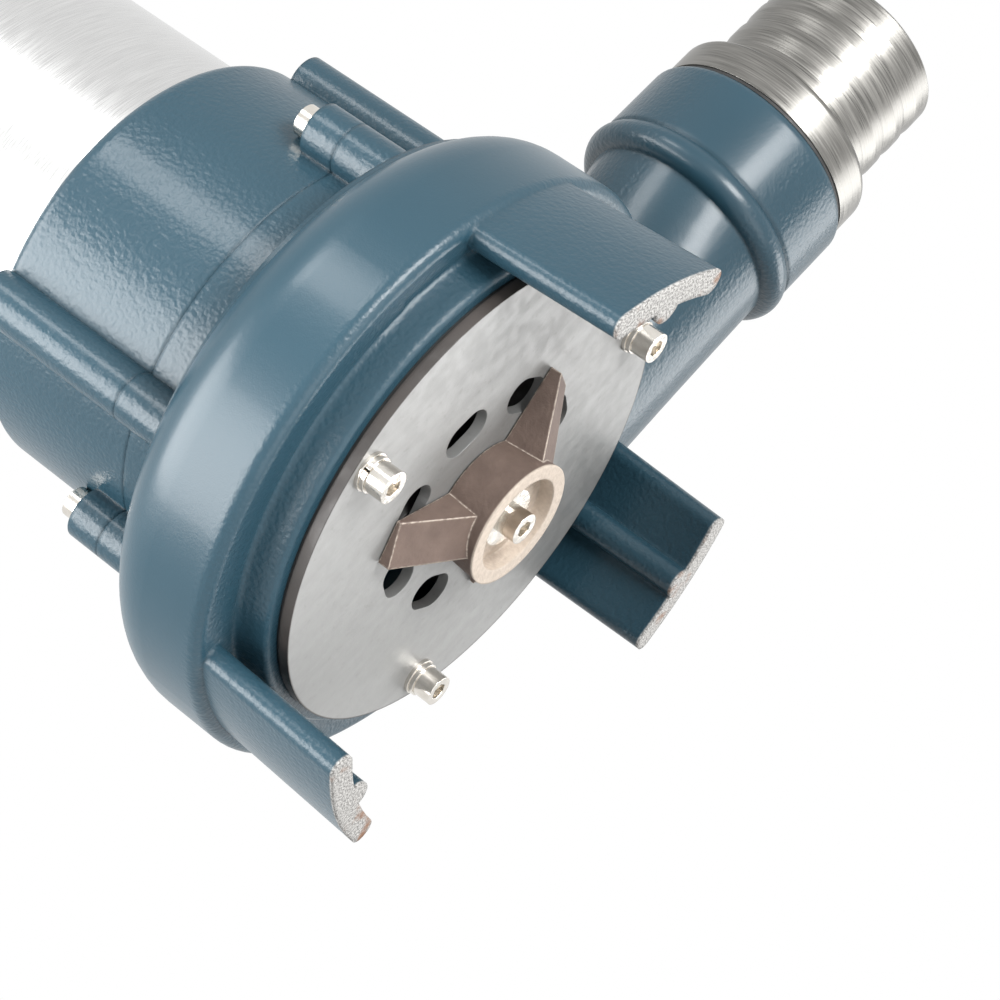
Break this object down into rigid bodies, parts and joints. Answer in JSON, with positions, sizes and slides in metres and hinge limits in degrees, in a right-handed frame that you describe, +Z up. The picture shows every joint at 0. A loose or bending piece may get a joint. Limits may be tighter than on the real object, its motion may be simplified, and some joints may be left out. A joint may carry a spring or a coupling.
{
  "type": "submersible sewage cutter pump",
  "caption": "Submersible sewage pump on three legs, with a clawed cutter over a holed suction plate, a volute casing with a side discharge, and a sealed motor with a handle.",
  "frame": {"origin": "middle of the footprint, on the ground that the three legs stand on; the shaft stands beside it at x = -70.95 mm, y = -6.20 mm", "axes": "+Z up along the shaft, towards the handle; +X along the discharge, out of the hose tail"},
  "size_m": [0.3434, 0.2068, 0.4415],
  "materials": {
    "blue_enamel": "glossy two-part enamel",
    "dark_inside": "machined casting",
    "plate_steel": "ground",
    "cutter_alloy": "fine cast alloy",
    "stainless": "brushed",
    "bright_screws": "bright nickel",
    "black_rubber": "matt",
    "ceramic": "polished ceramic",
    "bearing_steel": "ground",
    "shaft_steel": "ground",
    "lamination": "stacked sheet",
    "copper_winding": "varnished",
    "rotor_alloy": "cast",
    "cast_alloy": "cast",
    "capacitor_shell": "plain",
    "plug_brass": "turned"
  },
  "bodies": {
    "pump": {"volute_casing": "blue_enamel", "oil_housing": "blue_enamel", "top_cover": "blue_enamel", "handle": "stainless", "cutter_plate": "plate_steel", "plate_gasket": "black_rubber", "plate_flat_washers": "bright_screws", "plate_spring_washers": "bright_screws", "plate_screws": "bright_screws", "outlet_gasket": "black_rubber", "outlet_adapter": "stainless", "hose_tail": "stainless", "seal_plate": "dark_inside", "seal_plate_screws": "bright_screws", "seal_cup": "black_rubber", "seal_seat": "ceramic", "casing_o_ring": "black_rubber", "casing_screws": "bright_screws", "lip_seal": "black_rubber", "oil_plug": "plug_brass", "oil_plug_washer": "black_rubber", "lower_bearing_outer_ring": "bearing_steel", "upper_bearing_outer_ring": "bearing_steel", "stator_core": "lamination", "stator_windings": "copper_winding", "motor_shell": "stainless", "lower_shell_seal": "black_rubber", "upper_shell_seal": "black_rubber", "bearing_bracket": "cast_alloy", "wave_spring": "stainless", "tie_screws": "bright_screws", "handle_screws": "bright_screws", "gland_nut": "stainless", "gland_sleeve": "black_rubber", "capacitor": "capacitor_shell"},
    "rotor": {"shaft": "shaft_steel", "cutter": "cutter_alloy", "cutter_key": "shaft_steel", "cutter_washer": "bright_screws", "cutter_screw": "bright_screws", "impeller": "dark_inside", "impeller_key": "shaft_steel", "seal_face": "dark_inside", "seal_spring": "stainless", "seal_collar": "stainless", "seal_circlip": "shaft_steel", "rotor_core": "lamination", "rotor_end_rings": "rotor_alloy", "lower_bearing_inner_ring": "bearing_steel", "upper_bearing_inner_ring": "bearing_steel"},
    "lower_cage": {"lower_bearing_balls": "bearing_steel", "lower_bearing_cage": "stainless"},
    "upper_cage": {"upper_bearing_balls": "bearing_steel", "upper_bearing_cage": "stainless"}
  },
  "joints": [
    {"name": "shaft_spin", "type": "hinge", "parent": "pump", "child": "rotor", "pos_m": [-0.07095, -0.0062, 0], "axis": [0, 0, 1], "continuous": true},
    {"name": "lower_cage_turn", "type": "hinge", "parent": "pump", "child": "lower_cage", "pos_m": [-0.07095, -0.0062, 0.157], "axis": [0, 0, 1], "continuous": true},
    {"name": "upper_cage_turn", "type": "hinge", "parent": "pump", "child": "upper_cage", "pos_m": [-0.07095, -0.0062, 0.3175], "axis": [0, 0, 1], "continuous": true}
  ],
  "couplings": [
    {"joint": "lower_cage_turn", "follows": "shaft_spin", "ratio": 0.38},
    {"joint": "upper_cage_turn", "follows": "shaft_spin", "ratio": 0.38}
  ]
}
